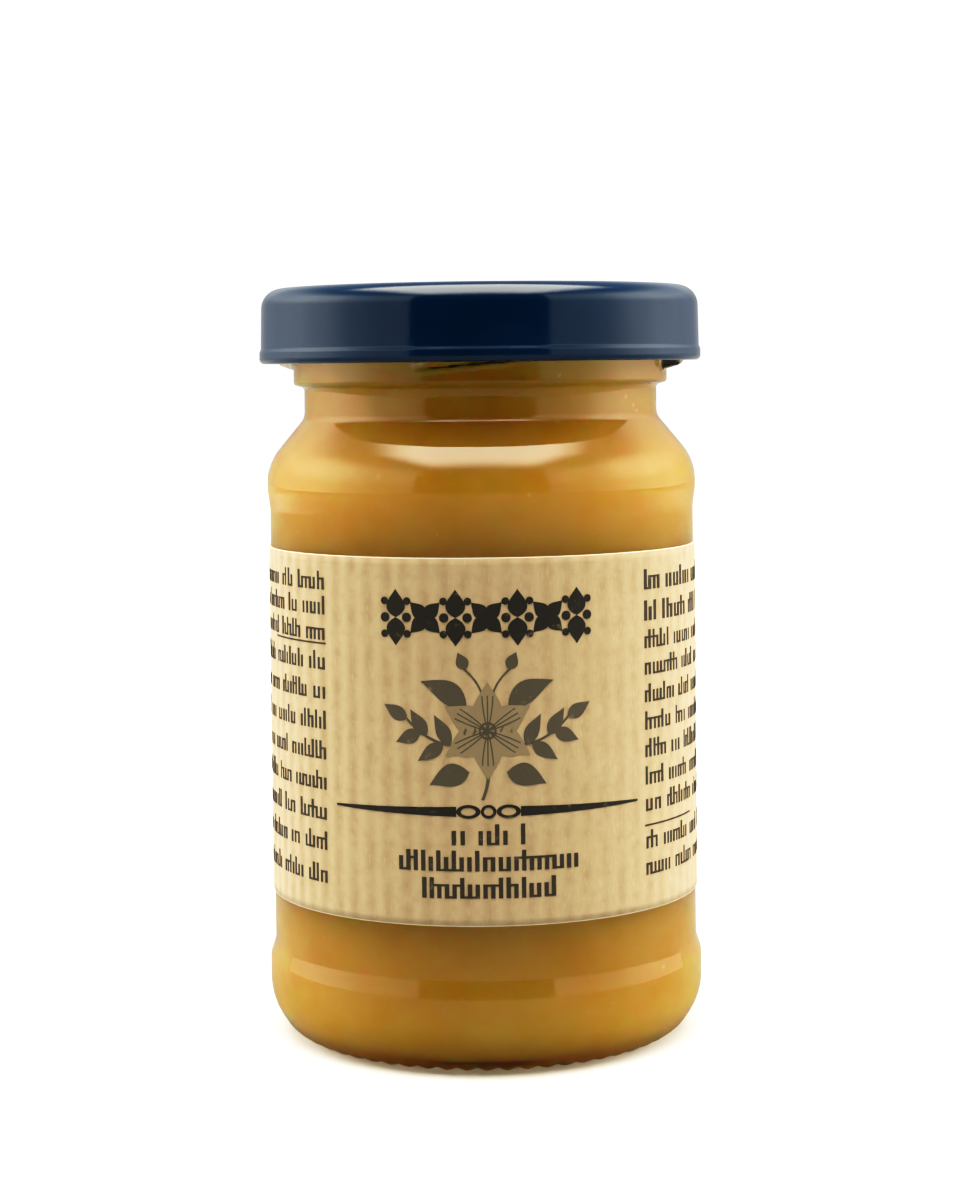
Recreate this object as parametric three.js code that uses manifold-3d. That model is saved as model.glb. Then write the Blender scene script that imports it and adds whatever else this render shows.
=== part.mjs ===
import * as THREE from 'three';
import { mergeVertices } from 'three/addons/utils/BufferGeometryUtils.js';
import Module from 'manifold-3d';

// A small round jar of orange marmalade, shut with a dark blue twist-off lid and wrapped in a paper label.
// Millimetres, +Z up. The jar stands on z = 0 with its axis on Z, and the front of its label faces -Y.

const wasm = await Module();
wasm.setup();

// Overall sizes
const totalHeight = 85;
const sides = 60;
const arcStep = THREE.MathUtils.degToRad(30);
const weldDistance = 1e-4;

// Glass, outside
const punt = 2.2;
const puntRadius = 8.5;
const puntRounding = 40;
const ringRadius = 17.6;
const footRadius = 22.06;
const footRounding = 3.75;
const heelRadius = 24.85;
const heelBottom = 4.12;
const heelTop = 8.8;
const heelRounding = 6.1;
const panelRadius = 24.27;
const panelBottom = 10.6;
const panelTop = 59.95;
const panelRounding = 1.2;
const shoulderRadius = 24.56;
const shoulderBottom = 62.1;
const shoulderTop = 65;
const shoulderRounding = 5.7;
const neckRadius = 20.2;
const neckBottom = 70.3;
const neckTop = 73.7;
const neckRounding = 1.6;
const finishRadius = 21.4;
const finishBevel = 0.35;
const rimHeight = 84.2;
const rimRounding = 1;
const softEdge = 0.4;

// Glass, inside
const crownHeight = 3.6;
const crownRadius = 9;
const crownRounding = 40;
const floorHeight = 1.6;
const floorRounding = 3.2;
const boreRadius = 21.3;
const boreTop = 63.6;
const boreRounding = 5;
const mouthRadius = 18;
const mouthBottom = 69.8;
const mouthRounding = 3;

// Thread lugs that hold the lid
const lugCount = 4;
const lugSpan = THREE.MathUtils.degToRad(40);
const lugStart = THREE.MathUtils.degToRad(-20.6);
const lugSteps = 8;
const lugLow = 75.1;
const lugRise = 1.45;
const lugThickness = 2.2;
const lugTipThickness = 0.8;
const lugTipRadius = 23.3;
const lugRoot = 0.5;
const lugRunOut = 0.16;
const lugEndDepth = 0.15;

// Filling
const fillLevel = 79;
const fillGap = 0.1;
const fillRounding = 0.8;

// Lid
const lidTopRadius = 24.96;
const lidSkirtRadius = 25.27;
const lidRounding = 2.25;
const lidBottom = 76.45;
const lidSheet = 0.5;
const curlRadius = 0.6;
const lidPanelRadius = 16.6;
const lidPanelDepth = 0.6;
const lidPanelSlope = 0.8;

// Label
const labelTop = 55.76;
const labelBottom = 16.53;
const labelThickness = 0.2;
const labelGap = 0.03;
const labelOpenSides = 4;

// Materials
const clearGlass = new THREE.MeshStandardMaterial({
  color: 0xdfe8e2, roughness: 0.05, metalness: 0, transparent: true, opacity: 0.35,
});
const orangePreserve = new THREE.MeshStandardMaterial({ color: 0xb06a14, roughness: 0.35, metalness: 0 });
const blueLacquer = new THREE.MeshStandardMaterial({ color: 0x10172b, roughness: 0.2, metalness: 0.1 });
const kraftPaper = new THREE.MeshStandardMaterial({ color: 0xdcc096, roughness: 0.85, metalness: 0 });

// Rounds off one corner of an outline with an arc, and returns the arc's points.
function roundedCorner(before, corner, after, rounding) {
  const toBefore = before.clone().sub(corner).normalize();
  const toAfter = after.clone().sub(corner).normalize();
  const opening = Math.acos(toBefore.dot(toAfter));
  const centre = toBefore.clone().add(toAfter).setLength(rounding / Math.sin(opening / 2)).add(corner);
  const turn = (Math.PI - opening) * Math.sign(toAfter.cross(toBefore));
  const start = toBefore.setLength(rounding / Math.tan(opening / 2)).add(corner).sub(centre);
  const steps = Math.max(1, Math.ceil(Math.abs(turn) / arcStep));
  const points = [];
  for (let step = 0; step <= steps; step += 1) {
    points.push(start.clone().rotateAround(new THREE.Vector2(), (turn * step) / steps).add(centre));
  }
  return points;
}

// Turns corners, each [radius, height, rounding], into the points of a smooth outline.
function outline(corners) {
  const at = corners.map(([radius, height]) => new THREE.Vector2(radius, height));
  return corners.flatMap(([, , rounding], index) => (
    rounding ? roundedCorner(at[index - 1], at[index], at[index + 1], rounding) : [at[index]]
  ));
}

// Spins an outline about the Z axis.
function turned(corners) {
  const geometry = new THREE.LatheGeometry(outline(corners), sides);
  geometry.rotateX(Math.PI / 2);
  return geometry;
}

// Bends a unit box round the Z axis: place gives each of its corners an angle from the front,
// a radius and a height.
function bent(steps, place) {
  const geometry = new THREE.BoxGeometry(1, 1, 1, steps, 1, 1);
  const position = geometry.attributes.position;
  const point = new THREE.Vector3();
  for (let index = 0; index < position.count; index += 1) {
    const { angle, radius, height } = place(point.fromBufferAttribute(position, index));
    position.setXYZ(index, radius * Math.sin(angle), -radius * Math.cos(angle), height);
  }
  return geometry;
}

// Keeps only the positions of a closed mesh, with shared corners merged and empty triangles dropped.
function welded(geometry) {
  const bare = geometry.clone();
  bare.deleteAttribute('normal');
  bare.deleteAttribute('uv');
  const merged = mergeVertices(bare, weldDistance);
  const corners = [];
  for (let first = 0; first < merged.index.count; first += 3) {
    const [a, b, c] = [0, 1, 2].map((offset) => merged.index.getX(first + offset));
    if (a !== b && b !== c && c !== a) corners.push(a, b, c);
  }
  merged.setIndex(corners);
  return merged;
}

function toSolid(geometry) {
  const closed = welded(geometry);
  return new wasm.Manifold(new wasm.Mesh({
    numProp: 3,
    vertProperties: Float32Array.from(closed.attributes.position.array),
    triVerts: Uint32Array.from(closed.index.array),
  }));
}

function toGeometry(solid) {
  const mesh = solid.getMesh();
  const geometry = new THREE.BufferGeometry();
  geometry.setAttribute('position', new THREE.BufferAttribute(mesh.vertProperties, 3));
  geometry.setIndex(new THREE.BufferAttribute(mesh.triVerts, 1));
  geometry.computeVertexNormals();
  return geometry;
}

function glassBody() {
  return turned([
    [0, punt, 0],
    [puntRadius, punt, puntRounding],
    [ringRadius, 0, softEdge],
    [footRadius, 0, footRounding],
    [heelRadius, heelBottom, heelRounding],
    [heelRadius, heelTop, panelRounding],
    [panelRadius, panelBottom, panelRounding],
    [panelRadius, panelTop, panelRounding],
    [shoulderRadius, shoulderBottom, panelRounding],
    [shoulderRadius, shoulderTop, shoulderRounding],
    [neckRadius, neckBottom, neckRounding],
    [neckRadius, neckTop, softEdge],
    [finishRadius, neckTop + finishBevel, softEdge],
    [finishRadius, rimHeight, rimRounding],
    [mouthRadius, rimHeight, rimRounding],
    [mouthRadius, mouthBottom, mouthRounding],
    [boreRadius, boreTop, boreRounding],
    [boreRadius, floorHeight, floorRounding],
    [crownRadius, crownHeight, crownRounding],
    [0, crownHeight, 0],
  ]);
}

// One sloping thread lug: thick at the finish, thin at its tip, and run out at both ends.
function threadLug(turn) {
  return bent(lugSteps, (point) => {
    const along = point.x + 0.5;
    const outward = point.y < 0;
    const fullness = Math.min(1, lugEndDepth + Math.min(along, 1 - along) / lugRunOut);
    const tip = finishRadius + (lugTipRadius - finishRadius) * fullness;
    const middle = lugLow + lugThickness / 2 + lugRise * along;
    return {
      angle: turn + lugStart + lugSpan * along,
      radius: outward ? tip : finishRadius - lugRoot,
      height: middle + point.z * (outward ? lugTipThickness : lugThickness),
    };
  });
}

function glassJar() {
  let glass = toSolid(glassBody());
  for (let lug = 0; lug < lugCount; lug += 1) {
    glass = glass.add(toSolid(threadLug((lug * 2 * Math.PI) / lugCount)));
  }
  return toGeometry(glass);
}

function filling() {
  return turned([
    [0, crownHeight + fillGap, 0],
    [crownRadius, crownHeight + fillGap, crownRounding],
    [boreRadius - fillGap, floorHeight + fillGap, floorRounding],
    [boreRadius - fillGap, boreTop, boreRounding],
    [mouthRadius - fillGap, mouthBottom, mouthRounding],
    [mouthRadius - fillGap, fillLevel, fillRounding],
    [0, fillLevel, 0],
  ]);
}

// Pressed from sheet: a sunk panel, a rounded shoulder, a plain skirt and a curl round its lower edge.
function twistLid() {
  const underside = totalHeight - lidSheet;
  const curlInside = lidSkirtRadius - 2 * curlRadius;
  return turned([
    [0, underside - lidPanelDepth, 0],
    [lidPanelRadius, underside - lidPanelDepth, 0],
    [lidPanelRadius + lidPanelSlope, underside, 0],
    [lidTopRadius - lidSheet, underside, lidRounding - lidSheet],
    [lidSkirtRadius - lidSheet, lidBottom + 3 * curlRadius, 0],
    [curlInside, lidBottom + 2 * curlRadius, 0],
    [curlInside, lidBottom, curlRadius],
    [lidSkirtRadius, lidBottom, curlRadius],
    [lidTopRadius, totalHeight, lidRounding],
    [lidPanelRadius + lidPanelSlope, totalHeight, 0],
    [lidPanelRadius, totalHeight - lidPanelDepth, 0],
    [0, totalHeight - lidPanelDepth, 0],
  ]);
}

// The sheet stops short of a full turn, so a strip of glass shows at the back.
function wrapLabel() {
  const covered = sides - labelOpenSides;
  const inside = panelRadius + labelGap;
  return bent(covered, (point) => ({
    angle: (point.x * covered * 2 * Math.PI) / sides,
    radius: point.y < 0 ? inside + labelThickness : inside,
    height: point.z < 0 ? labelBottom : labelTop,
  }));
}

function part(name, geometry, material) {
  const mesh = new THREE.Mesh(geometry, material);
  mesh.name = name;
  return mesh;
}

const jar = new THREE.Group();
jar.add(part('glass_jar', glassJar(), clearGlass));
jar.add(part('marmalade', filling(), orangePreserve));
jar.add(part('lid', twistLid(), blueLacquer));
jar.add(part('label', wrapLabel(), kraftPaper));

export default jar;
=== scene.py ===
from math import atan2, ceil, cos, degrees, hypot, pi, radians, sin, tan
from random import Random

import bmesh
import bpy
from mathutils import Matrix, Vector


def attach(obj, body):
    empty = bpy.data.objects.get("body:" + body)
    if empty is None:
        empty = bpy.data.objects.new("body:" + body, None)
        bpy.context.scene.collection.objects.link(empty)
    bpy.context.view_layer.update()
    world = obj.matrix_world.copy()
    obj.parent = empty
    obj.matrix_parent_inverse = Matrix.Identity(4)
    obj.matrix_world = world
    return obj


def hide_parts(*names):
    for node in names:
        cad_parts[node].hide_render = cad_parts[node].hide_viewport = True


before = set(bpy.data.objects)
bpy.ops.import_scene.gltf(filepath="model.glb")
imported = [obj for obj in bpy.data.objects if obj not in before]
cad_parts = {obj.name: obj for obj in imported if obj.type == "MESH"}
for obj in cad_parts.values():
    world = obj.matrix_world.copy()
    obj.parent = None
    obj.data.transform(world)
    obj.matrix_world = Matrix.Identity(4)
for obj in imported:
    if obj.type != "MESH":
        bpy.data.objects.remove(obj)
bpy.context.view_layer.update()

# A small round jar of orange marmalade with a dark blue twist-off lid and a ribbed kraft label.
# Sizes are in mm from the middle of the foot, and mm turns them into Blender's metres.
mm = 0.001


# Camera and studio

camera = {
    "distance": 288.64,         # from the jar's axis to the lens
    "height": 75.86,            # about level with the lid's lower edge
    "down": 2,                  # degrees below the horizon
    "lean": 0.616,              # degrees, the photo's right side stands a little high
    "lens": 75.27,
    "shift": (-0.0008, -0.121),
}


def placeCamera():
    data = bpy.data.cameras.new("photoCamera")
    data.lens = camera["lens"]
    data.shift_x, data.shift_y = camera["shift"]
    data.clip_start, data.clip_end = 0.01, 20
    eye = bpy.data.objects.new("photoCamera", data)
    bpy.context.scene.collection.objects.link(eye)
    eye.matrix_world = (
        Matrix.Translation((0, -camera["distance"] * mm, camera["height"] * mm))
        @ Matrix.Rotation(radians(90 - camera["down"]), 4, "X")
        @ Matrix.Rotation(radians(-camera["lean"]), 4, "Z")
    )
    bpy.context.scene.camera = eye


colourResult = 2    # a Mix node has a Result for each kind of data, and the colour's is the third


class Wire:
    # one socket of a node tree, so that shader maths reads as plain expressions
    def __init__(self, tree, socket=None):
        self.tree, self.socket = tree, socket

    def make(self, kind, settings={}, sockets={}, output=0):
        # any node: its type, its own settings, then the values or wires of its sockets
        node = self.tree.nodes.new("ShaderNode" + kind)
        for name, value in settings.items():
            if name == "stops":
                fillRamp(node.color_ramp, value)
            else:
                setattr(node, name, value)
        for name, value in sockets.items():
            if isinstance(value, Wire):
                self.tree.links.new(value.socket, node.inputs[name])
            else:
                node.inputs[name].default_value = value
        return Wire(self.tree, node.outputs[output] if node.outputs else None)

    def maths(self, operation, *values):
        return self.make("Math", {"operation": operation}, dict(enumerate(values)))

    def __add__(self, other):
        return self.maths("ADD", self, other)

    def __sub__(self, other):
        return self.maths("SUBTRACT", self, other)

    def __rsub__(self, other):
        return self.maths("SUBTRACT", other, self)

    def __mul__(self, other):
        return self.maths("MULTIPLY", self, other)

    def __truediv__(self, other):
        return self.maths("DIVIDE", self, other)

    __radd__, __rmul__ = __add__, __mul__

    def between(self, low, high):
        # 0 below low and 1 above high, with a soft step
        settings = {"interpolation_type": "SMOOTHSTEP"}
        return self.make("MapRange", settings, {"Value": self, "From Min": low, "From Max": high})

    def blend(self, first, second, how="MIX"):
        # this wire is the share of the second colour
        settings = {"data_type": "RGBA", "blend_type": how}
        return self.make("Mix", settings, {"Factor": self, "A": first, "B": second}, colourResult)


def fillRamp(ramp, stops):
    # stops are (place, colour) pairs
    while len(ramp.elements) < len(stops):
        ramp.elements.new(1)
    for element, (place, colour) in zip(ramp.elements, stops):
        element.position = place
        element.color = colour


studio = {
    # light from the horizon, by degrees round from the front:
    # a dark doorway, dim beside it and bright at the sides
    "wall": [
        (0, (0.02, 0.02, 0.02, 1)),
        (35, (0.02, 0.02, 0.02, 1)),
        (37, (0.68, 0.69, 0.64, 1)),
        (55, (0.75, 0.76, 0.70, 1)),
        (70, (0.98, 0.99, 0.91, 1)),
        (86, (1.70, 1.72, 1.58, 1)),
        (105, (1.74, 1.76, 1.62, 1)),
        (121, (1.22, 1.23, 1.14, 1)),
        (131, (0.86, 0.86, 0.80, 1)),
        (148, (0.50, 0.50, 0.47, 1)),
        (180, (0.42, 0.42, 0.40, 1)),
    ],
    "wallTop": (1.65, 1.65, 1.6, 1),  # times brighter than that, higher up
    "wallTopFrom": (0.10, 0.34),  # height over distance where that begins and where it is full
    "ceiling": (0.45, 0.45, 0.43, 1),
    "ceilingFrom": (28, 46),    # degrees up over which the walls give way to it
    # a soft panel overhead, its half width and both ends given for each metre of height
    "panel": (7.8, 7.5, 6.5, 1),
    "panelWide": (0.42, 0.80),
    "panelFront": (0.45, 1.20),
    "panelBack": (0.20, 0.50),
    "spread": 0.42,             # share of all this light that paper and preserve get
    "backdrop": (1, 1, 1, 1),
    "floorSize": 3000,
    "floor": (0.93, 0.93, 0.92, 1),             # as seen straight
    "floorMirrored": (0.26, 0.26, 0.25, 1),     # as seen in lacquer and glass
    "floorBounce": (0.52, 0.52, 0.50, 1),       # as it lights paper and preserve
    # the print's contrast: light in, tone out
    "contrast": [
        (0.02, 0.006), (0.055, 0.026), (0.16, 0.13), (0.30, 0.33),
        (0.39, 0.49), (0.66, 0.83), (0.86, 0.965),
    ],
}

sideLamp = {
    "size": 450,
    "distance": 520,
    "height": 110,
    "tilt": 84,
    "turned": (-114, 106),      # degrees round from the front
    "power": (4.5, 4.4),
}


def scattered(tree):
    # 1 for light on its way to something matt, 0 for light that only passes mirrors and glass
    return tree.maths("GREATER_THAN", tree.make("LightPath", output="Diffuse Depth"), 0.5)


def lightStudio():
    world = bpy.data.worlds.new("studio")
    bpy.context.scene.world = world
    world.use_nodes = True
    world.node_tree.nodes.clear()
    tree = Wire(world.node_tree)
    way = tree.make("TexCoord", output="Generated")
    x, y, z = (tree.make("SeparateXYZ", {}, {0: way}, axis) for axis in "XYZ")
    fromFront = tree.maths("ABSOLUTE", tree.maths("ARCTAN2", x, 0 - y)) / pi
    wall = tree.make("ValToRGB", {"stops": [(a / 180, c) for a, c in studio["wall"]]}, {0: fromFront})
    low, high = (sin(radians(angle)) for angle in studio["ceilingFrom"])
    upWall = z.between(*studio["wallTopFrom"]).blend(wall, studio["wallTop"], "MULTIPLY")
    room = z.between(low, high).blend(upWall, studio["ceiling"])
    height = tree.maths("MAXIMUM", z, 0.001)
    across, forward = tree.maths("ABSOLUTE", x / height), (0 - y) / height
    panel = (
        (1 - across.between(*studio["panelWide"])) * (1 - forward.between(*studio["panelFront"]))
        * (1 - (0 - forward).between(*studio["panelBack"]))
    )
    share = 1 - scattered(tree) * (1 - studio["spread"])
    light = tree.make("Background", {}, {"Color": panel.blend(room, studio["panel"]), "Strength": share})
    backdrop = tree.make("Background", {}, {"Color": studio["backdrop"]})
    straight = tree.make("LightPath", output="Is Camera Ray")
    both = tree.make("MixShader", {}, {0: straight, 1: light, 2: backdrop})
    tree.make("OutputWorld", {}, {"Surface": both})


def placeSideLamps():
    for turned, power in zip(sideLamp["turned"], sideLamp["power"]):
        data = bpy.data.lights.new("sideLamp", "AREA")
        data.size = sideLamp["size"] * mm
        data.energy = power
        lamp = bpy.data.objects.new("sideLamp", data)
        bpy.context.scene.collection.objects.link(lamp)
        lamp.matrix_world = (
            Matrix.Rotation(radians(turned), 4, "Z")
            @ Matrix.Translation((0, -sideLamp["distance"] * mm, sideLamp["height"] * mm))
            @ Matrix.Rotation(radians(sideLamp["tilt"]), 4, "X")
        )
        lamp.visible_camera = lamp.visible_glossy = False


def setContrast():
    view = bpy.context.scene.view_settings
    view.view_transform = "Standard"
    view.use_curve_mapping = True
    view.curve_mapping.extend = "HORIZONTAL"
    for light, tone in studio["contrast"]:
        view.curve_mapping.curves[3].points.new(light, tone)
    view.curve_mapping.update()


def newMaterial(name, sockets):
    # a Principled material from plain values and wires, with sockets given as a function of its node tree
    material = bpy.data.materials.new(name)
    material.use_nodes = True
    material.node_tree.nodes.clear()
    tree = Wire(material.node_tree)
    shader = tree.make("BsdfPrincipled", {}, sockets(tree))
    tree.make("OutputMaterial", {}, {"Surface": shader})
    return material


def finishPiece(mesh, name, material, slot, *nodes, smooth=True):
    # turns a bmesh into a piece of the jar, shown in place of the CAD nodes named
    for face in mesh.faces:
        face.smooth = smooth
    data = bpy.data.meshes.new(name)
    mesh.to_mesh(data)
    mesh.free()
    data.materials.append(material)
    piece = bpy.data.objects.new(name, data)
    bpy.context.scene.collection.objects.link(piece)
    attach(piece, "root")
    if nodes:
        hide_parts(*nodes)
    print(name, len(data.polygons), "faces")
    return piece


def layFloor():
    mesh = bmesh.new()
    bmesh.ops.create_grid(mesh, x_segments=1, y_segments=1, size=studio["floorSize"] * mm / 2)
    data = bpy.data.meshes.new("studioFloor")
    mesh.to_mesh(data)
    mesh.free()

    def sockets(tree):
        straight = tree.make("LightPath", output="Is Camera Ray")
        unseen = scattered(tree).blend(studio["floorMirrored"], studio["floorBounce"])
        return {"Base Color": straight.blend(unseen, studio["floor"]), "Roughness": 0.9}

    data.materials.append(newMaterial("paleFloor", sockets))
    floor = bpy.data.objects.new("studioFloor", data)
    bpy.context.scene.collection.objects.link(floor)


placeCamera()
lightStudio()
placeSideLamps()
setContrast()
layFloor()
print("camera, light and floor are in place")


# Turned pieces

def profileLine(corners, arcStep, closed=False):
    # a line through the corners, each given as radius, height and rounding, with the roundings cut in
    mesh = bmesh.new()
    line = [mesh.verts.new((radius * mm, 0, height * mm)) for radius, height, rounding in corners]
    following = line[1:] + line[:1] if closed else line[1:]
    for here, there in zip(line, following):
        mesh.edges.new((here, there))
    for vertex, (radius, height, rounding) in zip(line, corners):
        if not rounding:
            continue
        before, after = (edge.other_vert(vertex).co - vertex.co for edge in vertex.link_edges)
        opening = before.angle(after)
        bmesh.ops.bevel(
            mesh, geom=[vertex], affect="VERTICES", offset_type="OFFSET",
            offset=rounding * mm / tan(opening / 2),
            segments=max(2, ceil(degrees(pi - opening) / arcStep)), profile=0.5, material=-1,
        )
    return mesh


def addRows(mesh, rowHeight):
    # splits the long stretches of a profile; rowHeight gives the longest one allowed at a radius and height
    for edge in mesh.edges[:]:
        middle = (edge.verts[0].co + edge.verts[1].co) / 2 / mm
        cuts = int(edge.calc_length() / mm / rowHeight(middle.x, middle.z))
        if cuts:
            bmesh.ops.subdivide_edges(mesh, edges=[edge], cuts=cuts)


def turn(mesh, around):
    bmesh.ops.spin(
        mesh, geom=mesh.verts[:] + mesh.edges[:], cent=(0, 0, 0), axis=(0, 0, 1),
        angle=2 * pi, steps=around, use_merge=True,
    )
    bmesh.ops.remove_doubles(mesh, verts=mesh.verts[:], dist=0.001 * mm)
    bmesh.ops.recalc_face_normals(mesh, faces=mesh.faces[:])


def softStep(value):
    share = min(1, max(0, value))
    return share * share * (3 - 2 * share)


glassJar = {
    "around": 360,
    "arcStep": 9,               # degrees of each rounding for one step
    "outline": [                # radius, height, rounding of each corner
        (0, 2.2, 0), (8.5, 2.2, 40),                    # hollow under the foot
        (17.6, 0, 0.4), (22.06, 0, 3.75),               # ring that the jar stands on
        (24.85, 4.12, 6.1), (24.85, 8.8, 1.2),          # heel
        (24.27, 10.6, 1.2), (24.27, 59.95, 1.2),        # recessed panel for the label
        (24.56, 62.1, 1.2), (24.56, 65, 5.7),           # shoulder
        (20.2, 70.3, 1.6), (20.2, 73.7, 0.4),           # neck
        (21.4, 74.05, 0.4), (21.4, 84.2, 1),            # finish, mostly inside the lid
        (18, 84.2, 1), (18, 69.8, 3),                   # mouth
        (21.3, 63.6, 5), (21.3, 1.6, 3.2),              # bore
        (9, 3.6, 40), (0, 3.6, 0),                      # domed floor
    ],
    "finishRadius": 21.4,
    "lugs": 4,                  # sloping threads that the lid turns on
    "lugStart": -20.6,          # degrees from the front
    "lugSpan": 40,
    "lugLow": 75.1,
    "lugRise": 1.45,
    "lugThickness": (2.2, 0.8),  # at the finish and at the tip
    "lugReach": 1.9,
    "lugRunOut": 0.16,          # share of its length over which each end dies away
    "knurls": 60,               # small ridges round the foot
    "knurlDepth": 0.28,
    "knurlFrom": 17.7,
    "knurlTo": 22.6,
    "knurlEnds": (0.6, 1.2),    # over which they die away
    "knurlTop": 1.6,
    # the longest face up the profile: at the ridges, at the lugs, outside and inside
    "rows": {"knurls": 0.5, "lugs": 0.22, "outside": 1.6, "inside": 4},
}


def glassRows(radius, height):
    rows = glassJar["rows"]
    if height < 0.5 and radius > glassJar["knurlFrom"] - 0.4:
        return rows["knurls"]
    if height > glassJar["lugLow"] - 1.1 and radius > glassJar["finishRadius"] - 0.1:
        return rows["lugs"]
    return rows["outside"] if radius > 22 else rows["inside"]


def raiseLug(vertex):
    radius = hypot(vertex.co.x, vertex.co.y) / mm
    height = vertex.co.z / mm
    if radius < glassJar["finishRadius"] - 0.05 or height < glassJar["lugLow"] - 1:
        return
    pitch = 360 / glassJar["lugs"]
    fromStart = (degrees(atan2(vertex.co.x, -vertex.co.y)) - glassJar["lugStart"]) % pitch
    along = fromStart / glassJar["lugSpan"]
    if along > 1:
        return
    root, tip = glassJar["lugThickness"]
    middle = glassJar["lugLow"] + root / 2 + glassJar["lugRise"] * along
    fullness = softStep(min(along, 1 - along) / glassJar["lugRunOut"])
    rounded = softStep((root / 2 - abs(height - middle)) / (root / 2 - tip / 2))
    grown = 1 + glassJar["lugReach"] * fullness * rounded / radius
    vertex.co.x *= grown
    vertex.co.y *= grown


def cutKnurl(vertex):
    radius = hypot(vertex.co.x, vertex.co.y) / mm
    start, end = glassJar["knurlFrom"], glassJar["knurlTo"]
    if vertex.co.z / mm > glassJar["knurlTop"] or not start < radius < end:
        return
    inside, outside = glassJar["knurlEnds"]
    inner = softStep((radius - start) / inside)
    outer = softStep((end - radius) / outside)
    wave = 0.5 - 0.5 * cos(glassJar["knurls"] * atan2(vertex.co.x, -vertex.co.y))
    vertex.co.z += glassJar["knurlDepth"] * wave * inner * outer * mm


def clearGlass(tree):
    place = tree.make("TexCoord", output="Object")
    waves = tree.make("TexNoise", {}, {"Vector": place, "Scale": 85, "Detail": 1.5})
    bump = tree.make("Bump", {}, {"Strength": 0.12, "Distance": 0.0004, "Height": waves})
    haze = tree.make("TexNoise", {}, {"Vector": place, "Scale": 160, "Detail": 2})
    return {
        "Base Color": haze.blend((0.97, 0.985, 0.965, 1), (0.985, 0.99, 0.98, 1)),
        "Roughness": haze * 0.02,
        "IOR": 1.5,
        "Transmission Weight": 1.0,
        "Normal": bump,
    }


def makeGlassJar():
    mesh = profileLine(glassJar["outline"], glassJar["arcStep"])
    addRows(mesh, glassRows)
    turn(mesh, glassJar["around"])
    for vertex in mesh.verts:
        raiseLug(vertex)
        cutKnurl(vertex)
    finishPiece(mesh, "glassJar", newMaterial("clearGlass", clearGlass), "glass_jar", "glass_jar")


makeGlassJar()


marmalade = {
    "around": 240,
    "arcStep": 10,
    "reach": 0.08,              # into the glass, so that no air shows between them
    "level": 79,
    "scatter": 16.0,             # how far light travels in it
    "scatterColour": (1.0, 0.27, 0.03),
    "golden": (0.69, 0.43, 0.08, 1),
    "orange": (0.67, 0.385, 0.05, 1),
    "speck": (0.92, 0.72, 0.30, 1),
}


def cloudyPreserve(tree):
    place = tree.make("TexCoord", output="Object")
    cloud = tree.make("TexNoise", {}, {"Vector": place, "Scale": 110, "Detail": 4, "Roughness": 0.6})
    dots = tree.make("TexVoronoi", {}, {"Vector": place, "Scale": 420}, "Distance")
    rare = tree.make("TexNoise", {}, {"Vector": place, "Scale": 260, "Detail": 1})
    speck = (1 - dots.between(0.06, 0.15)) * rare.between(0.58, 0.66)
    body = cloud.between(0.35, 0.65).blend(marmalade["orange"], marmalade["golden"])
    return {
        "Base Color": (speck * 0.4).blend(body, marmalade["speck"]),
        "Roughness": 0.45,
        "IOR": 1.2,
        "Subsurface Weight": 1.0,
        "Subsurface Radius": marmalade["scatterColour"],
        "Subsurface Scale": marmalade["scatter"] * mm,
    }


def makeMarmalade():
    reach = marmalade["reach"]
    mesh = profileLine([
        (0, 3.6 - reach, 0), (9, 3.6 - reach, 40), (21.3 + reach, 1.6 - reach, 3.2),
        (21.3 + reach, 63.6, 5), (18 + reach, 69.8, 3),
        (18 + reach, marmalade["level"], 0.8), (0, marmalade["level"], 0),
    ], marmalade["arcStep"])
    addRows(mesh, lambda radius, height: 3)
    turn(mesh, marmalade["around"])
    preserve = newMaterial("cloudyPreserve", cloudyPreserve)
    finishPiece(mesh, "orangeMarmalade", preserve, "marmalade", "marmalade")


makeMarmalade()


lid = {
    "around": 300,
    "arcStep": 8,
    "outline": [                # radius, height, rounding of each corner, round the pressed sheet
        (0, 83.9, 0), (16.6, 83.9, 0.3), (17.4, 84.5, 0.3),             # underside of the sunk panel
        (24.46, 84.5, 1.75), (24.77, 78.25, 0.3),                       # inside of the skirt
        (24.07, 77.65, 0.3), (24.07, 76.45, 0.6), (25.27, 76.45, 0.6),  # curl round the lower edge
        (25.27, 77.75, 0.35), (25.10, 78.15, 0.5),                      # step above the curl
        (24.96, 85, 2.25), (17.4, 85, 0.4), (16.6, 84.4, 0.4), (0, 84.4, 0),
    ],
    "navy": (0.002, 0.018, 0.052, 1),
    "worn": (0.003, 0.021, 0.058, 1),
}


def blueLacquer(tree):
    place = tree.make("TexCoord", output="Object")
    flow = tree.make("TexNoise", {}, {"Vector": place, "Scale": 130, "Detail": 2})
    peel = tree.make("TexNoise", {}, {"Vector": place, "Scale": 1400, "Detail": 2})
    bump = tree.make("Bump", {}, {"Strength": 0.06, "Distance": 0.0001, "Height": peel + flow * 3})
    return {
        "Base Color": flow.between(0.3, 0.7).blend(lid["navy"], lid["worn"]),
        "Roughness": 0.08 + flow * 0.05,
        "IOR": 1.5,
        "Normal": bump,
    }


def makeLid():
    mesh = profileLine(lid["outline"], lid["arcStep"])
    addRows(mesh, lambda radius, height: 1.2 if radius > 20 else 4)
    turn(mesh, lid["around"])
    finishPiece(mesh, "twistLid", newMaterial("blueLacquer", blueLacquer), "lid", "lid")


makeLid()
print("glass, marmalade and lid are turned")


# Paper label, drawn flat with x along it, y up it and z outwards, then wrapped round the jar

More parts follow.
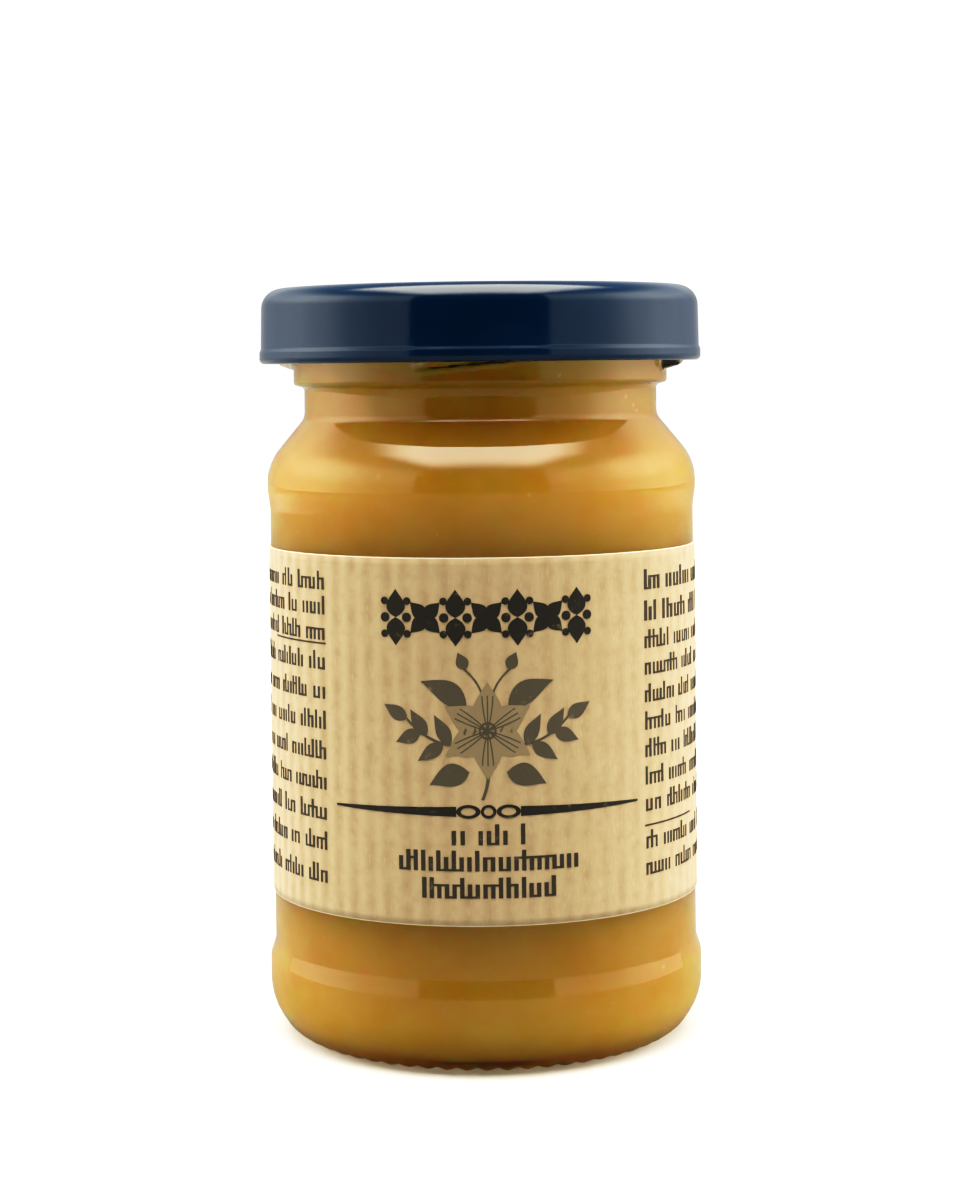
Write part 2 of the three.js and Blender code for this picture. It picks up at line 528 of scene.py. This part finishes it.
label = {
    "radius": 24.42,            # middle of the paper's outer face
    "bottom": 16.53,
    "top": 55.76,
    "covers": 168,              # degrees round from the front, each way
    "thickness": 0.1,
    "ribPitch": 2.18,
    "ribDepth": 0.04,
    "ribSteps": 8,
    "rows": 48,
    "paper": (0.465, 0.365, 0.235, 1),
    "shade": (0.375, 0.28, 0.165, 1),
    "fibre": (0.52, 0.42, 0.28, 1),
    "cutEdge": (0.86, 0.78, 0.62, 1),
}


def wrapRound(mesh, radius):
    for vertex in mesh.verts:
        angle = vertex.co.x / radius
        out = (radius + vertex.co.z) * mm
        vertex.co = (out * sin(angle), -out * cos(angle), vertex.co.y * mm)


def kraftPaper(tree):
    place = tree.make("TexCoord", output="Object")
    x, y, z = (tree.make("SeparateXYZ", {}, {0: place}, axis) for axis in "XYZ")
    along = tree.maths("ARCTAN2", x, 0 - y) * label["radius"]      # mm round from the front
    up = z / mm
    flat = tree.make("CombineXYZ", {}, {"X": along, "Y": up, "Z": 0.0})
    sway = tree.make("TexNoise", {}, {"Vector": flat, "Scale": 0.12, "Detail": 2})
    rib = tree.maths("SINE", (along + sway * 0.5) * (2 * pi / label["ribPitch"])) * 0.5 + 0.5
    ribStrength = tree.make("TexNoise", {}, {"Vector": flat, "Scale": 0.35, "Detail": 2})
    streaks = tree.make("Mapping", {}, {"Vector": flat, "Scale": (2.2, 0.5, 1)})
    fibres = tree.make("TexNoise", {}, {"Vector": streaks, "Scale": 1.6, "Detail": 5, "Roughness": 0.65})
    mottle = tree.make("TexNoise", {}, {"Vector": flat, "Scale": 0.9, "Detail": 3})
    dark = rib * ribStrength.between(0.2, 0.7) * 0.75 + mottle.between(0.45, 0.75) * 0.3
    body = dark.blend(label["paper"], label["shade"])
    fibred = (fibres.between(0.52, 0.75) * 0.55).blend(body, label["fibre"])
    middle = (label["top"] + label["bottom"]) / 2
    half = (label["top"] - label["bottom"]) / 2
    edge = tree.maths("ABSOLUTE", up - middle).between(half - 0.14, half - 0.02)
    bump = tree.make("Bump", {}, {"Strength": 0.35, "Distance": 0.0001, "Height": fibres + mottle * 0.5})
    return {
        "Base Color": edge.blend(fibred, label["cutEdge"]),
        "Roughness": 0.82 + mottle * 0.1,
        "IOR": 1.45,
        "Sheen Weight": 0.15,
        "Sheen Roughness": 0.5,
        "Normal": bump,
    }


def makeLabel():
    reach = radians(label["covers"]) * label["radius"]
    columns = ceil(2 * reach / label["ribPitch"] * label["ribSteps"])
    mesh = bmesh.new()
    bmesh.ops.create_grid(mesh, x_segments=columns, y_segments=label["rows"], size=1)
    half = (label["top"] - label["bottom"]) / 2
    bmesh.ops.scale(mesh, vec=(reach, half, 1), verts=mesh.verts[:])
    bmesh.ops.translate(mesh, vec=(0, label["bottom"] + half, 0), verts=mesh.verts[:])
    for vertex in mesh.verts:
        vertex.co.z -= label["ribDepth"] / 2 * sin(2 * pi * vertex.co.x / label["ribPitch"])
    back = bmesh.ops.extrude_face_region(mesh, geom=mesh.faces[:])
    moved = [item for item in back["geom"] if isinstance(item, bmesh.types.BMVert)]
    bmesh.ops.translate(mesh, vec=(0, 0, -label["thickness"]), verts=moved)
    bmesh.ops.recalc_face_normals(mesh, faces=mesh.faces[:])
    wrapRound(mesh, label["radius"])
    finishPiece(mesh, "kraftLabel", newMaterial("kraftPaper", kraftPaper), "label", "label")


makeLabel()


# Print on the label: plain ornaments, a blossom with leafy sprigs, a swelled rule and rows of strokes

ink = {
    "raise": 0.045,             # top of the ink over the middle of the paper's face
    "sink": 0.035,
    "layer": 0.006,             # each colour over the last
    "wrapStep": 1.0,
    "black": (0.020, 0.017, 0.014, 1),
    "grey": (0.095, 0.080, 0.058, 1),
    "pale": (0.27, 0.21, 0.13, 1),
    "text": (0.042, 0.034, 0.025, 1),
}


def printedInk(colour):
    def sockets(tree):
        place = tree.make("TexCoord", output="Object")
        patchy = tree.make("TexNoise", {}, {"Vector": place, "Scale": 900, "Detail": 4, "Roughness": 0.6})
        bare = patchy.between(0.58, 0.82) * 0.45
        return {"Base Color": bare.blend(colour, label["shade"]), "Roughness": 0.6 + patchy * 0.15}
    return sockets


def flatPlace(x, y, turned=0):
    return Matrix.Translation((x, y, 0)) @ Matrix.Rotation(radians(turned), 4, "Z")


def disc(mesh, x, y, radius, sides=20):
    bmesh.ops.create_circle(mesh, cap_ends=True, segments=sides, radius=radius, matrix=flatPlace(x, y))


def ring(mesh, x, y, radius, inside, sides=28, stretch=1):
    loops = []
    for size in (radius, inside):
        place = flatPlace(x, y) @ Matrix.Diagonal((stretch, 1, 1, 1))
        circle = bmesh.ops.create_circle(mesh, segments=sides, radius=size, matrix=place)
        loops += {edge for vertex in circle["verts"] for edge in vertex.link_edges}
    bmesh.ops.bridge_loops(mesh, edges=loops)


def blade(mesh, place, length, halfWidth, bend=0, steps=12):
    # a strip from the place along its x; halfWidth gives its width at each share of the length
    strip = bmesh.ops.create_grid(mesh, x_segments=steps, y_segments=1, size=0.5)
    for vertex in strip["verts"]:
        share = vertex.co.x + 0.5
        vertex.co.x = share * length
        vertex.co.y = 2 * vertex.co.y * halfWidth(share) + bend * 4 * share * (1 - share)
    bmesh.ops.transform(mesh, matrix=place, verts=strip["verts"])


def leafShape(width):
    return lambda share: max(0.004, width * sin(pi * share ** 0.85) * (1.1 - 0.45 * share))


def lineShape(width):
    return lambda share: width


def pressPrint(mesh, name, colour, lift=0):
    # cuts the flat drawing so that it can bend, gives it thickness and wraps it over the paper
    low = min(vertex.co.x for vertex in mesh.verts)
    high = max(vertex.co.x for vertex in mesh.verts)
    for step in range(ceil(low / ink["wrapStep"]), int(high / ink["wrapStep"]) + 1):
        bmesh.ops.bisect_plane(
            mesh, geom=mesh.verts[:] + mesh.edges[:] + mesh.faces[:],
            plane_co=(step * ink["wrapStep"], 0, 0), plane_no=(1, 0, 0),
        )
    bmesh.ops.recalc_face_normals(mesh, faces=mesh.faces[:])
    back = bmesh.ops.extrude_face_region(mesh, geom=mesh.faces[:])
    moved = [item for item in back["geom"] if isinstance(item, bmesh.types.BMVert)]
    bmesh.ops.translate(mesh, vec=(0, 0, -ink["sink"]), verts=mesh.verts[:])
    bmesh.ops.translate(mesh, vec=(0, 0, ink["sink"] + ink["raise"] + lift), verts=moved)
    bmesh.ops.recalc_face_normals(mesh, faces=mesh.faces[:])
    wrapRound(mesh, label["radius"])
    finishPiece(mesh, name, newMaterial(name + "Ink", printedInk(colour)), "label", smooth=False)


title = {
    "middle": (0.4, 49.4),
    "count": 7,                 # leaf pairs and crosses in turn
    "pitch": 3.3,
    "leaf": (3.0, 1.15),        # length and half width
    "cross": (2.3, 0.85),
    "heart": 0.55,
    # on both sides of a leaf pair: how far out, how far up, and radius
    "dots": ((1.25, 0, 0.5), (1.3, -1.75, 0.4), (1.3, 1.75, 0.4)),
}


def printTitle():
    mesh = bmesh.new()
    centre, line = title["middle"]
    for number in range(title["count"]):
        x = centre + (number - (title["count"] - 1) / 2) * title["pitch"]
        if number % 2:
            for turned in range(45, 405, 90):
                length, width = title["cross"]
                blade(mesh, flatPlace(x, line, turned), length, leafShape(width))
            disc(mesh, x, line, title["heart"])
        else:
            for turned in (90, 270):
                length, width = title["leaf"]
                blade(mesh, flatPlace(x, line, turned), length, leafShape(width))
            for side in (-1, 1):
                for out, up, radius in title["dots"]:
                    disc(mesh, x + side * out, line + up, radius)
    pressPrint(mesh, "titleOrnaments", ink["black"])


blossom = {
    "middle": (0.4, 37.4),
    "petals": 6,
    "petal": (5.2, 1.75),       # length and half width
    "vein": (3.744, 0.07),
    "veinTurn": 9,
    "veinBend": 0.1,
    "heart": (0.95, 0.7),
    "seeds": 10,
    "seedSpread": 0.21,
    "seedTurn": 2.4,            # radians from one to the next
    "seed": 0.13,
    "sprigFoot": (0, -1, 14),   # across, up and degrees turned, from the blossom's middle
    "sprigLength": 9.0,
    "sprigBend": -1.5,
    "sprigWidth": 0.13,
    # along each sprig: share of its length, degrees turned and length
    "sprigLeaves": ((0.42, 62, 3.6), (0.5, -34, 3.4), (0.72, 58, 3.3), (0.8, -22, 3.0), (1.0, 30, 3.0)),
    "sprigLeafWidth": 0.85,
    # lines and leaves: where they start and degrees turned, length, half width and bend
    "budStem": ((0.3, 2.5, 62), 4.6, 0.1, 0.5),
    "leaves": (
        ((2.3, 6.5, 66), 2.0, 0.75, 0), ((2.2, 2.6, 28), 5.6, 1.35, 0.4), ((2.0, -4.4, -18), 4.48, 1.35, 0.3),
    ),
    "stalk": ((0, -3, 262), 4.4, 0.16, 0.3),
}


def drawFlower(petals, veins):
    x, y = blossom["middle"]
    for number in range(blossom["petals"]):
        turned = 90 + number * 360 / blossom["petals"]
        length, width = blossom["petal"]
        blade(petals, flatPlace(x, y, turned), length, leafShape(width))
        for side in (-1, 0, 1):
            place = flatPlace(x, y, turned + side * blossom["veinTurn"])
            length, width = blossom["vein"]
            blade(veins, place, length, lineShape(width), bend=side * blossom["veinBend"])
    ring(veins, x, y, *blossom["heart"])
    for number in range(blossom["seeds"]):
        out = blossom["seedSpread"] * (number % 3 + 1)
        turned = number * blossom["seedTurn"]
        disc(veins, x + out * cos(turned), y + out * sin(turned), blossom["seed"], sides=8)


def drawSprig(leaves, side):
    # from the blossom's middle to one side, with its leaves, a bud and two larger leaves
    half = Matrix.Translation((*blossom["middle"], 0)) @ Matrix.Diagonal((side, 1, 1, 1))
    foot, length, bend = flatPlace(*blossom["sprigFoot"]), blossom["sprigLength"], blossom["sprigBend"]
    blade(leaves, half @ foot, length, lineShape(blossom["sprigWidth"]), bend=bend, steps=18)
    for share, turned, leaf in blossom["sprigLeaves"]:
        start = foot @ Vector((share * length, bend * 4 * share * (1 - share), 0))
        blade(leaves, half @ flatPlace(start.x, start.y, turned), leaf, leafShape(blossom["sprigLeafWidth"]))
    place, length, width, bend = blossom["budStem"]
    blade(leaves, half @ flatPlace(*place), length, lineShape(width), bend=bend)
    for place, length, width, bend in blossom["leaves"]:
        blade(leaves, half @ flatPlace(*place), length, leafShape(width), bend=bend)


def printBlossom():
    petals, veins, leaves = bmesh.new(), bmesh.new(), bmesh.new()
    drawFlower(petals, veins)
    for side in (-1, 1):
        drawSprig(leaves, side)
    place, length, width, bend = blossom["stalk"]
    middle = Matrix.Translation((*blossom["middle"], 0))
    blade(leaves, middle @ flatPlace(*place), length, lineShape(width), bend=bend)
    pressPrint(leaves, "leafPrint", ink["grey"])
    pressPrint(petals, "petalPrint", ink["pale"], lift=ink["layer"])
    pressPrint(veins, "veinPrint", ink["grey"], lift=2 * ink["layer"])


rule = {
    "middle": (0.4, 28.8),
    "reach": 17.8,
    "tip": 0.1,
    "swell": 0.42,
    "taper": 0.8,
    "ring": (0.72, 0.44),       # outer and inner radius, before the stretch
    "ringPitch": 2.15,
    "sideStretch": 1.8,
    "middleStretch": 1.15,
}


def ruleShape(share):
    return rule["tip"] + rule["swell"] * (1 - share) ** rule["taper"]


def printRule():
    mesh = bmesh.new()
    x, y = rule["middle"]
    gap = rule["ringPitch"] + rule["ring"][0] * rule["sideStretch"]
    for side in (-1, 1):
        place = flatPlace(x + side * gap, y, 0 if side > 0 else 180)
        blade(mesh, place, rule["reach"] - gap, ruleShape, steps=16)
        ring(mesh, x + side * rule["ringPitch"], y, *rule["ring"], stretch=rule["sideStretch"])
    ring(mesh, x, y, *rule["ring"], stretch=rule["middleStretch"])
    pressPrint(mesh, "swelledRule", ink["black"])


lines = {
    # strokes of two kinds: short and tall ones, how wide they are and how far apart
    "column": {"low": 1.3, "tall": 2.0, "stroke": 0.32, "pitch": 0.70},
    "heavy": {"low": 1.5, "tall": 2.2, "stroke": 0.46, "pitch": 0.84},
    # rows in the middle: height up the jar, then where each word starts and ends along the label
    "middleRows": [
        (26.0, (-3.8, -1.9)), (26.0, (-0.9, 2.6)), (26.0, (3.5, 4.6)),
        (23.2, (-9.6, 10.4)), (20.3, (-7.0, 7.8)),
    ],
    # rows at the sides, by height up the jar
    "leftRows": [52.6, 49.9, 47.1, 43.9, 40.7, 37.4, 34.1, 30.8, 27.5, 24.2, 20.6],
    "rightRows": [52.3, 48.9, 45.8, 42.9, 39.9, 36.9, 33.9, 30.9, 28.0, 23.9, 21.0],
    "heavyRows": (52.3, 48.9),
    "leftEdge": -18.9,
    "rightEdge": 19.4,
    "columnEnd": 43,
    "words": [5.2, 3.1, 7.0, 4.2, 2.4, 6.1, 3.6, 4.9],  # their lengths, used in turn
    "rowShift": 3,              # words left out of that list from one row to the next
    "space": 0.9,
    "tallShare": 0.25,
    "joinShare": 0.6,           # share of the strokes that are joined to the one before
    "joinInset": 0.12,
    "joinWidth": 0.11,
    "rules": [(-30, -18.9, 46.1), (19.4, 30, 25.8)],    # start, end and height
    "ruleWidth": 0.09,
    "seed": 5,
}


def word(mesh, start, end, y, letters, chance):
    # upright strokes side by side, some of them joined, as print looks from afar
    count = max(1, round((end - start) / letters["pitch"]))
    step = (end - start) / count
    foot = y - letters["low"] / 2
    for number in range(count):
        x = start + (number + 0.5) * step
        height = letters["tall"] if chance.random() < lines["tallShare"] else letters["low"]
        blade(mesh, flatPlace(x, foot, 90), height, lineShape(letters["stroke"] / 2), steps=1)
        if number and chance.random() < lines["joinShare"]:
            level = foot + chance.choice((lines["joinInset"], letters["low"] - lines["joinInset"]))
            blade(mesh, flatPlace(x - step, level), step, lineShape(lines["joinWidth"]), steps=1)


def printLines():
    mesh = bmesh.new()
    chance = Random(lines["seed"])
    for y, (start, end) in lines["middleRows"]:
        word(mesh, start, end, y, lines["heavy"], chance)
    columns = ((-1, lines["leftEdge"], lines["leftRows"]), (1, lines["rightEdge"], lines["rightRows"]))
    for side, edge, rows in columns:
        for row, y in enumerate(rows):
            letters = lines["heavy"] if side > 0 and y in lines["heavyRows"] else lines["column"]
            place, number = abs(edge), row * lines["rowShift"] + (side > 0)
            while place < lines["columnEnd"]:
                end = min(lines["columnEnd"], place + lines["words"][number % len(lines["words"])])
                word(mesh, *sorted((side * place, side * end)), y, letters, chance)
                place, number = end + lines["space"], number + 1
    for start, end, y in lines["rules"]:
        blade(mesh, flatPlace(start, y), end - start, lineShape(lines["ruleWidth"]), steps=10)
    pressPrint(mesh, "textLines", ink["text"])


printTitle()
printBlossom()
printRule()
printLines()
print("label is wrapped and printed")
